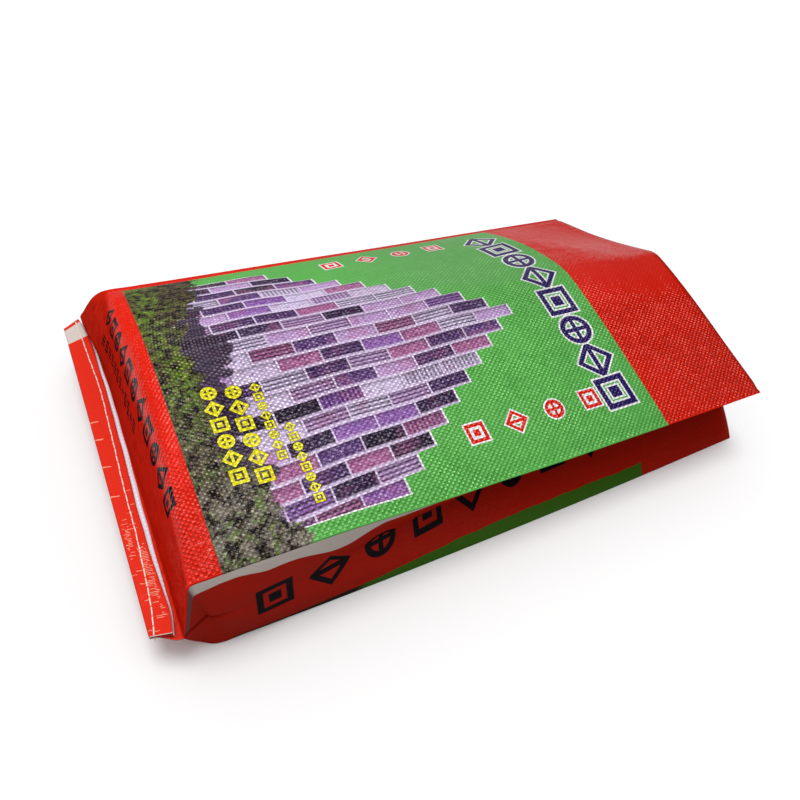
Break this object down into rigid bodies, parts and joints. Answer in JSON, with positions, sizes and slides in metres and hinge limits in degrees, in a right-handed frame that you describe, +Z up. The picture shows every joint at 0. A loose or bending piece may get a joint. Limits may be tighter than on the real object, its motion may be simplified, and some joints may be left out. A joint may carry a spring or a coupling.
{
  "type": "woven polypropylene bag",
  "caption": "Empty side-gusseted sack of printed, laminated woven polypropylene, lying on its back, sewn across one end and open at the other.",
  "frame": {"origin": "middle of the sack's box, on the floor that it lies on", "axes": "+X from the sewn end to the open mouth, +Y across the panels, +Z up through the front panel"},
  "size_m": [0.679, 0.4028, 0.1372],
  "materials": {
    "printed_woven": "woven polypropylene tape under a glossy printed film, bare white weave inside",
    "sewing_thread": "white polyester chain-stitch thread"
  },
  "bodies": {
    "root": {"sack": "printed_woven", "needle_thread": "sewing_thread", "looper_thread": "sewing_thread"}
  },
  "joints": []
}
